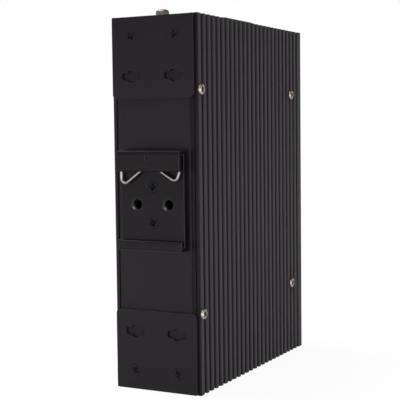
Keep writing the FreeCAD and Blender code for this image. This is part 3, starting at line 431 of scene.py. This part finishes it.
def new_piece(name, points, faces, material, replaced=(), values=None):
    """A piece of the switch from points in metres and faces; it rides on the whole switch. Values hold one
    number per point for each attribute that its material reads."""
    mesh = bpy.data.meshes.new(name)
    mesh.from_pydata(points.tolist(), [], faces.tolist())
    for label, amounts in (values or {}).items():
        mesh.attributes.new(label, "FLOAT", "POINT").data.foreach_set("value", amounts)
    welded = bmesh.new()
    welded.from_mesh(mesh)
    bmesh.ops.remove_doubles(welded, verts=welded.verts, dist=WELD)
    bmesh.ops.dissolve_degenerate(welded, edges=welded.edges, dist=WELD)
    bmesh.ops.recalc_face_normals(welded, faces=welded.faces)
    welded.to_mesh(mesh)
    welded.free()
    mesh.polygons.foreach_set("use_smooth", np.ones(len(mesh.polygons), bool))
    mesh.materials.append(material)
    piece = bpy.data.objects.new(name, mesh)
    bpy.context.scene.collection.objects.link(piece)
    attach(piece, "root")
    if replaced:
        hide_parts(*replaced)


def ease(value):
    """0 below 0, 1 above 1, and v * v * (3 - 2 * v) between."""
    value = np.clip(value, 0, 1)
    return value * value * (3 - 2 * value)


def facing(points, towards):
    """Turns points whose axis is the third coordinate to face towards an axis, such as +Y or -X."""
    x, y, z = points.T
    sign = -1 if towards[0] == "-" else 1
    if towards[1] == "X":
        return np.stack([sign * z, sign * x, y], axis=1)
    if towards[1] == "Y":
        return np.stack([-sign * x, sign * z, y], axis=1)
    return points


def rounded_path(points, radius, steps=10):
    """A polyline in a plane with each corner replaced by an arc of that radius, tangent to both runs: the
    centre lies radius / sin(half the corner's angle) from the corner on its bisector."""
    points = np.asarray(points, float)
    path = [points[:1]]
    for before, corner, after in zip(points, points[1:], points[2:]):
        back = (before - corner) / np.linalg.norm(before - corner)
        ahead = (after - corner) / np.linalg.norm(after - corner)
        half = math.acos(float(np.clip(back @ ahead, -1, 1))) / 2
        bisector = (back + ahead) / np.linalg.norm(back + ahead)
        centre = corner + bisector * radius / math.sin(half)
        first = corner + back * radius / math.tan(half) - centre
        last = corner + ahead * radius / math.tan(half) - centre
        turn = math.acos(float(np.clip(first @ last / radius ** 2, -1, 1)))
        share = np.linspace(0, 1, steps + 1)[:, None]
        arc = (np.sin((1 - share) * turn) * first + np.sin(share * turn) * last) / math.sin(turn)
        path.append(centre + arc)
    path.append(points[-1:])
    return np.concatenate(path)


END_RINGS = 4                    # in the dome that closes each end of a wire


def wire_along(path, radius, across, sides=20):
    """A round wire along a flat path: each ring is radius * (cos t * across + sin t * side), where across
    is the normal of the path's plane and side lies in it, square to the run. A dome closes each end: its
    rings shrink by sin u while they move out by radius * cos u."""
    path = np.asarray(path, float)
    run = np.gradient(path, axis=0)
    run /= np.linalg.norm(run, axis=1, keepdims=True)
    side = np.cross(run, across)
    dome = np.linspace(0, np.pi / 2, END_RINGS + 1)[:-1]
    before = path[0] - run[0] * radius * np.cos(dome)[:, None]
    after = (path[-1] + run[-1] * radius * np.cos(dome)[:, None])[::-1]
    rings = np.concatenate([before, path, after])
    reach = radius * np.concatenate([np.sin(dome), np.ones(len(path)), np.sin(dome)[::-1]])
    side = np.concatenate([np.repeat(side[:1], END_RINGS, 0), side, np.repeat(side[-1:], END_RINGS, 0)])
    turn = np.linspace(0, 2 * np.pi, sides, endpoint=False)[None, :, None]
    around = np.cos(turn) * np.asarray(across, float) + np.sin(turn) * side[:, None, :]
    points = rings[:, None, :] + reach[:, None, None] * around
    return points.reshape(-1, 3), grid_faces(len(rings), sides, close_columns=True)


# ---------------------------------------------------------------- screws

HEAD_RINGS = 56                  # along the outline, from the middle of the top to its lower end
HEAD_SIDES = 120
CROWN_SHARE = 0.8                # of a head's radius: the recess stays inside it
RECESS_REACH = 0.62              # of a head's radius, from the middle to the end of an arm
RECESS_WIDTH = 1.35 * MM
RECESS_WALL = 0.07 * MM          # width of the recess's sloping wall
RECESS_TAPER = 0.6               # share of the depth that is lost at the end of an arm
DEEP_SHARE = 0.3                 # of the recess's depth: from there down a point takes the whole painted shade


def cross_recess(across, up, reach, depth):
    """Depth of a tapered cross recess: depth * (1 - taper * r / reach) on the arms, r along the arm, and
    eased to 0 over the walls."""
    along = np.maximum(np.abs(across), np.abs(up))
    aside = np.minimum(np.abs(across), np.abs(up))
    arm = ease((RECESS_WIDTH / 2 - aside) / RECESS_WALL + 0.5) * ease((reach - along) / RECESS_WALL + 0.5)
    return depth * arm * (1 - RECESS_TAPER * along / reach)


def screw_head(radius, outline, depth, turn):
    """A screw head about its own axis: outline holds (radius, height) pairs from the middle outwards and
    down its side, and is turned round the axis; the height loses a cross recess. Returns points with the
    axis along the third coordinate, faces, and each point's painted shade in the recess, from 0 to 1."""
    outline = np.asarray(outline, float)
    length = np.concatenate([[0], np.cumsum(np.hypot(*np.diff(outline, axis=0).T))])
    share = np.linspace(0, length[-1], HEAD_RINGS)
    ring = np.append(np.interp(share, length, outline[:, 0]), 0.0)
    height = np.append(np.interp(share, length, outline[:, 1]), outline[-1, 1])[:, None]
    angle = np.linspace(0, 2 * np.pi, HEAD_SIDES, endpoint=False)
    across = ring[:, None] * np.cos(angle)
    up = ring[:, None] * np.sin(angle)
    turned_x = across * math.cos(turn) + up * math.sin(turn)
    turned_y = up * math.cos(turn) - across * math.sin(turn)
    crown = (ring < CROWN_SHARE * radius) & (np.arange(len(ring)) < HEAD_RINGS)
    recess = cross_recess(turned_x, turned_y, RECESS_REACH * radius, depth) * crown[:, None]
    points = np.stack([across, up, height - recess], axis=2).reshape(-1, 3)
    recess_shade = ease(recess / (DEEP_SHARE * depth)).ravel()
    return points, grid_faces(len(ring), HEAD_SIDES, close_columns=True), recess_shade


CROWN_STEPS = 24
CROWN_POWER = 5                  # a higher power makes a flatter crown with a tighter shoulder


def dome_outline(radius, rise, rim):
    """(radius, height) of a pan head: rim + (rise - rim) * (1 - (r / radius) ** power) ** 0.5, and a
    straight rim below."""
    ring = radius * np.sin(np.linspace(0, np.pi / 2, CROWN_STEPS))
    height = rim + (rise - rim) * np.sqrt(np.clip(1 - (ring / radius) ** CROWN_POWER, 0, 1))
    return list(zip(ring, height)) + [(radius, 0.0)]


# The small round at the rim of a flat head, in mm: how far in from its edge and down from its top.
SUNK_RIM = ((0.36, 0.0), (0.26, 0.04), (0.2, 0.12), (0.2, 0.3))


def sunk_outline(radius, rise):
    """(radius, height) of a flat head with its top at 0: the small round at the rim, and below it a cone to
    (radius - rise, -rise)."""
    rim = [(radius - inwards * MM, -down * MM) for inwards, down in SUNK_RIM]
    return [(0, 0)] + rim + [(radius - rise, -rise)]


def heads_between(low, high, radius):
    """Where heads stand between two ends: one in the middle if only one fits, or else one at each end."""
    if high - low < 3 * radius:
        return [(low + high) / 2]
    return [low + radius, high - radius]


FIRST_TURN = 0.35                # radians
NEXT_TURN = 1.1


def screw_set(name, node, material, towards, face, radius, outline, depth):
    """The heads of one set of screws, in the corners of the set's own box, each with its recess turned its
    own way. They face towards an axis, such as +Y, with their outlines' zero at the face."""
    low, high = box_of(node)
    axis = AXES.index(towards[1])
    first, second = [other for other in range(3) if other != axis]
    places = [(a, b) for a in heads_between(low[first], high[first], radius)
              for b in heads_between(low[second], high[second], radius)]
    heads, recess_shade = [], []
    for number, place in enumerate(places):
        points, faces, depths = screw_head(radius, outline, depth, FIRST_TURN + NEXT_TURN * number)
        heads.append((facing(points, towards) + np.insert(place, axis, face), faces))
        recess_shade.append(depths)
    points, faces = joined(heads)
    # Each point carries its painted shade in the recess.
    new_piece(name, points, faces, material, [node], values={"recess_shade": np.concatenate(recess_shade)})


SUNK_RADIUS = 2.8 * MM
SUNK_RISE = 1.3 * MM
SUNK_DEPTH = 1.1 * MM
COVER_RADIUS = 2.35 * MM
COVER_RISE = 1.1 * MM
COVER_DEPTH = 0.9 * MM
PAN_RADIUS = 2.3 * MM
PAN_RISE = 1.1 * MM
PAN_RIM = 0.3 * MM
PAN_DEPTH = 0.8 * MM
EARTH_RIM = 0.8 * MM
EARTH_DEPTH = 1.3 * MM

rear_face = box_of("upper_wall_plate")[1][1]
clip_face = box_of("rail_clip_screws")[1][1]
rib_face = box_of("heat_sink")[0][0]
cover_face = box_of("left_cover")[1][0]

screw_set("wall_plate_heads", "wall_plate_screws", COATED_HEADS, "+Y", rear_face,
          SUNK_RADIUS, sunk_outline(SUNK_RADIUS, SUNK_RISE), SUNK_DEPTH)
screw_set("rail_clip_heads", "rail_clip_screws", BLACK_HEADS, "+Y", clip_face,
          SUNK_RADIUS, sunk_outline(SUNK_RADIUS, SUNK_RISE), SUNK_DEPTH)
screw_set("ribbed_side_heads", "heat_sink_screws", PLATED_HEADS, "-X", rib_face,
          PAN_RADIUS, dome_outline(PAN_RADIUS, PAN_RISE, PAN_RIM), PAN_DEPTH)
screw_set("left_cover_heads", "left_cover_screws", COATED_HEADS, "+X", cover_face,
          COVER_RADIUS, sunk_outline(COVER_RADIUS, COVER_RISE), COVER_DEPTH)


def make_ground_screw():
    """The earthing screw's domed head on its lock washer, on the case's top."""
    low, high = box_of("ground_screw")
    seat = box_of("ground_lock_washer")[1][2]
    radius = (high[0] - low[0]) / 2
    screw_set("ground_head", "ground_screw", EARTH_HEAD, "+Z", seat, radius,
              dome_outline(radius, high[2] - seat, EARTH_RIM), EARTH_DEPTH)


make_ground_screw()


# ---------------------------------------------------------------- rail spring

UPPER_LIP_HEIGHT = 8.9 * MM      # from the clip's top down to the lower edge of its upper hook's lip

# Corners of the wire before they are bent round, above and below that edge; left is +X.
SPRING_LEFT_DROP = 6.8 * MM
SPRING_RISE = 2.6 * MM           # of the ridge, behind the lip
SPRING_SHOULDER = 1.4 * MM       # sideways from the clip's middle to the ridge's ends
SPRING_RIGHT_DROP = 4.6 * MM
SPRING_TIP = 12.8 * MM           # sideways from the clip's middle to the right drop
SPRING_KNEE = 0.6 * MM           # above the edge, where the right leg turns straight up
SPRING_BEND = 2.0 * MM           # radius along the middle of the wire


def make_rail_spring():
    """The bent wire in the clip's upper hook: a round wire along rounded runs in one upright plane."""
    low, high = box_of("rail_spring")
    radius = (high[1] - low[1]) / 2
    lip = box_of("rail_clip")[1][2] - UPPER_LIP_HEIGHT
    end = high[0] - radius
    leg_top = high[2] - radius
    ridge = lip + SPRING_RISE
    runs = [(end, leg_top), (end, lip - SPRING_LEFT_DROP), (SPRING_SHOULDER, ridge),
            (-SPRING_SHOULDER, ridge), (-SPRING_TIP, lip - SPRING_RIGHT_DROP), (-end, lip + SPRING_KNEE),
            (-end, leg_top)]
    flat = rounded_path(runs, SPRING_BEND)
    path = np.insert(flat, 1, (low[1] + high[1]) / 2, axis=1)
    points, faces = wire_along(path, radius, (0, 1, 0))
    new_piece("spring_wire", points, faces, FINISHES["spring_steel"], ["rail_spring"])


make_rail_spring()


# ---------------------------------------------------------------- spare holes of the clip

MOUTH_RADIUS = 2.82 * MM
BORE_RADIUS = 1.74 * MM
MOUTH_DEPTH = 1.1 * MM
RING_THICKNESS = 0.06 * MM
RING_SIDES = 64
SPARE_ASIDE = 7.75 * MM          # from the clip's middle to each spare hole
GLINT_SIDE = math.radians(-42)    # from +X towards +Z: down, and to the plain cover's side, where the painted glint is brightest
GLINT_FROM = 0.9                  # cosine of the angle from that side at which the painted glint starts
GLINT_SOFTNESS = 0.1              # of that cosine, from no painted glint to whole


def cone_ring(outer, inner, depth, thickness):
    """A thin ring on a countersink: the profile (outer, 0), (inner, -depth), (inner + t, -depth - t / 3),
    (outer + t / 3, -t), with t the thickness, turned about its axis and closed into one band."""
    profile = np.array([(outer, 0), (inner, -depth), (inner + thickness, -depth - thickness / 3),
                        (outer + thickness / 3, -thickness)])
    turn = np.linspace(0, 2 * np.pi, RING_SIDES, endpoint=False)
    points = np.stack([profile[:, 0, None] * np.cos(turn), profile[:, 0, None] * np.sin(turn),
                       np.repeat(profile[:, 1, None], RING_SIDES, 1)], axis=2)
    return points.reshape(-1, 3), grid_faces(len(profile), RING_SIDES, close_rows=True, close_columns=True)


def make_spare_hole_rings():
    """A painted glint: the two countersinks that hold no screw, level with the middle of the clip's two
    screws, turn to a lighter metal on one side. The glint is 1 where the cosine of the angle from that
    side is near 1."""
    ring, quads = cone_ring(MOUTH_RADIUS, BORE_RADIUS, MOUTH_DEPTH, RING_THICKNESS)
    ring = facing(ring, "+Y")
    low, high = box_of("rail_clip_screws")
    places = [(side * SPARE_ASIDE, clip_face, (low[2] + high[2]) / 2) for side in (-1, 1)]
    points, faces = repeated(ring, quads, places)
    towards = np.cos(np.arctan2(ring[:, 2], ring[:, 0]) - GLINT_SIDE)
    wear_and_highlight = ease((towards - GLINT_FROM) / GLINT_SOFTNESS)
    new_piece("spare_hole_rings", points, faces, PAINTED_GLINT_METAL,
              values={"wear_and_highlight": np.tile(wear_and_highlight, len(places))})


make_spare_hole_rings()


# ---------------------------------------------------------------- contacts of the sockets

SOCKET_ROWS = 4
SOCKET_SPACING = 12.4 * MM       # between the middles of the two openings of a stacked pair
SOCKET_TALL = 7.0 * MM
CONTACTS = 8
CONTACT_PITCH = 1.02 * MM
CONTACT_RADIUS = 0.2 * MM
CONTACT_BEND = 0.28 * MM
CONTACT_ROOT = 0.3 * MM          # how far the first run stands in the wall and out of it
CONTACT_RISE = 2.5 * MM          # from the wall to the last run
CONTACT_STEPS = (2.4 * MM, 9.6 * MM, 12.8 * MM)     # from the mouth to the root, last bend and end


def contact_wires(wall, mouth, middle, way):
    """The wires of one opening: a round wire along three rounded runs, out of the wall near the mouth,
    sloping into the opening and straight back, repeated across the opening."""
    start, bend, end = (mouth + step for step in CONTACT_STEPS)
    runs = [(wall - way * CONTACT_ROOT, start), (wall + way * CONTACT_ROOT, start),
            (wall + way * CONTACT_RISE, bend), (wall + way * CONTACT_RISE, end)]
    path = np.insert(rounded_path(runs, CONTACT_BEND, steps=4), 2, middle, axis=1)
    points, faces = wire_along(path, CONTACT_RADIUS, (0, 0, 1), sides=8)
    lifts = (np.arange(CONTACTS) - (CONTACTS - 1) / 2) * CONTACT_PITCH
    return repeated(points, faces, [(0, 0, lift) for lift in lifts])


def make_contacts():
    """Sprung wires in each socket opening, on the wall between the two openings of a stacked pair."""
    wires = []
    for row in range(SOCKET_ROWS):
        low, high = box_of("jack_insert_%d" % (row + 1))
        middle = (low + high) / 2
        for way in (-1, 1):
            wall = middle[0] + way * (SOCKET_SPACING - SOCKET_TALL) / 2
            wires.append(contact_wires(wall, low[1], middle[2], way))
    points, faces = joined(wires)
    new_piece("socket_contacts", points, faces, CONTACT_GOLD)


make_contacts()


# ---------------------------------------------------------------- floor and surroundings

FLOOR_REACH = 3.0                # metres to each side
FLOOR_GAP = 0.02 * MM            # the floor lies this far below the switch's flat bottom
SHADOW_REACH = 0.08              # metres from the middle within which the shadow shows most
WHITE_REACH = 0.32               # metres from the middle beyond which the floor is plain white
LEAST_WHITE = 0.92               # share of plain white near the switch; the rest takes the shadow
FLOOR_COLOUR = (0.86, 0.86, 0.86, 1.0)

PLAIN_LIGHT = 0.36               # of the surroundings on the switch
HORIZON = 0.1                    # height of a direction up to which the surroundings are white
OVERHEAD = 0.42                  # height of a direction from which they are grey
OVERHEAD_GREY = 0.15


def seen_rays(tree):
    """1 for the rays that show a background: to the camera, off gloss and through clear plastic."""
    path = tree.nodes.new("ShaderNodeLightPath")
    seen = math_node(tree, "MAXIMUM", path.outputs["Is Camera Ray"], path.outputs["Is Transmission Ray"])
    return math_node(tree, "MAXIMUM", seen, path.outputs["Is Glossy Ray"])


def mix_shaders(tree, factor, first, second, output):
    """Mixes two shaders by a factor into the output."""
    node = tree.nodes.new("ShaderNodeMixShader")
    tree.links.new(factor, node.inputs[0])
    tree.links.new(first.outputs[0], node.inputs[1])
    tree.links.new(second.outputs[0], node.inputs[2])
    tree.links.new(node.outputs[0], tree.nodes[output].inputs["Surface"])


def floor_material():
    """A pale matt floor that turns to white further off."""
    material = bpy.data.materials.new("pale floor")
    material.use_nodes = True
    tree = material.node_tree
    shader = tree.nodes["Principled BSDF"]
    shader.inputs["Base Color"].default_value = FLOOR_COLOUR
    shader.inputs["Roughness"].default_value = 0.9
    shader.inputs["Specular IOR Level"].default_value = 0.1
    glow = tree.nodes.new("ShaderNodeEmission")
    glow.inputs["Color"].default_value = WHITE
    glow.inputs["Strength"].default_value = 1.0
    away = tree.nodes.new("ShaderNodeVectorMath")
    away.operation = "LENGTH"
    tree.links.new(tree.nodes.new("ShaderNodeTexCoord").outputs["Object"], away.inputs[0])
    white = eased_range(tree, away.outputs["Value"], SHADOW_REACH, WHITE_REACH, LEAST_WHITE, 1.0)
    mix_shaders(tree, math_node(tree, "MULTIPLY", seen_rays(tree), white), shader, glow, "Material Output")
    return material


def make_floor():
    """A pale floor that is white further off and keeps a soft shadow round the switch."""
    mesh = bpy.data.meshes.new("floor")
    level = cad_box[0][2] - FLOOR_GAP
    corners = [(-1, -1), (1, -1), (1, 1), (-1, 1)]
    mesh.from_pydata([(x * FLOOR_REACH, y * FLOOR_REACH, level) for x, y in corners], [], [(0, 1, 2, 3)])
    mesh.materials.append(floor_material())
    floor = bpy.data.objects.new("floor", mesh)
    bpy.context.scene.collection.objects.link(floor)


def make_world():
    """White round the horizon and greyer overhead where it is seen; a plain grey light on the switch."""
    world = bpy.data.worlds.new("studio")
    bpy.context.scene.world = world
    world.use_nodes = True
    tree = world.node_tree
    lit = tree.nodes["Background"]
    lit.inputs["Color"].default_value = WHITE
    lit.inputs["Strength"].default_value = PLAIN_LIGHT
    white = tree.nodes.new("ShaderNodeBackground")
    white.inputs["Color"].default_value = WHITE
    direction = split_vector(tree, tree.nodes.new("ShaderNodeTexCoord").outputs["Generated"])
    strength = eased_range(tree, direction["Z"], HORIZON, OVERHEAD, 1.0, OVERHEAD_GREY)
    tree.links.new(strength, white.inputs["Strength"])
    mix_shaders(tree, seen_rays(tree), lit, white, "World Output")


# ---------------------------------------------------------------- lamps and camera

# Name, place, the point that it looks at, size and power in watts.
LAMPS = (
    ("side light", (-0.36, 0.22, 0.045), (0, 0, 0.02), (0.4, 0.09), 1.2),
    ("rear light", (0.15, 0.42, 0.045), (0, 0.05, 0.02), (0.4, 0.09), 0.4),
    ("front light", (0.5, -0.8, 0.5), (0, 0, 0.08), (0.7, 0.5), 4.0),
    ("top light", (-0.1, 0.5, 0.9), (0, 0.04, 0.08), (0.6, 0.4), 4.0),
    ("overhead light", (0.42, 0.06, 0.9), (0, 0.05, 0.1), (0.5, 0.5), 7.5),
)

AZIMUTH = 207.59                 # degrees: behind, and to the ribbed side
ELEVATION = 3.97
ROLL = -0.67
DISTANCE = 495.3 * MM            # from the middle of the case
MOVED_LEFT = 7.69 * MM           # square to the line of sight
MOVED_DOWN = 1.5 * MM
LENS = 92.5                      # mm
SENSOR = 36.0                    # mm wide
NEAREST = 10 * MM                # nothing nearer to the lens is shown
CASE_MIDDLE = 81.5 * MM          # height of the point that the camera circles


def soft_light(name, place, target, size, power):
    """A rectangular lamp that looks at a point."""
    lamp = bpy.data.lights.new(name, "AREA")
    lamp.shape = "RECTANGLE"
    lamp.size, lamp.size_y = size
    lamp.energy = power
    light = bpy.data.objects.new(name, lamp)
    light.location = place
    light.rotation_euler = (Vector(target) - Vector(place)).to_track_quat("-Z", "Y").to_euler()
    bpy.context.scene.collection.objects.link(light)


def make_camera():
    """A camera on a sphere about the middle of the case, rolled and then moved left and down."""
    azimuth, elevation, roll = (math.radians(angle) for angle in (AZIMUTH, ELEVATION, ROLL))
    towards = Vector((math.sin(azimuth) * math.cos(elevation), -math.cos(azimuth) * math.cos(elevation),
                      math.sin(elevation)))
    level = Vector((0, 0, 1)).cross(towards).normalized()
    upright = towards.cross(level)
    right = level * math.cos(roll) + upright * math.sin(roll)
    up = upright * math.cos(roll) - level * math.sin(roll)
    middle = Vector((0, 0, CASE_MIDDLE))
    place = middle + towards * DISTANCE - right * MOVED_LEFT - up * MOVED_DOWN
    lens = bpy.data.cameras.new("camera")
    lens.sensor_width = SENSOR
    lens.lens = LENS
    lens.clip_start = NEAREST
    camera = bpy.data.objects.new("camera", lens)
    camera.matrix_world = Matrix((
        (right.x, up.x, towards.x, place.x), (right.y, up.y, towards.y, place.y),
        (right.z, up.z, towards.z, place.z), (0, 0, 0, 1)))
    bpy.context.scene.collection.objects.link(camera)
    bpy.context.scene.camera = camera


make_floor()
make_world()
for lamp in LAMPS:
    soft_light(*lamp)
make_camera()
bpy.context.scene.view_settings.view_transform = "Standard"
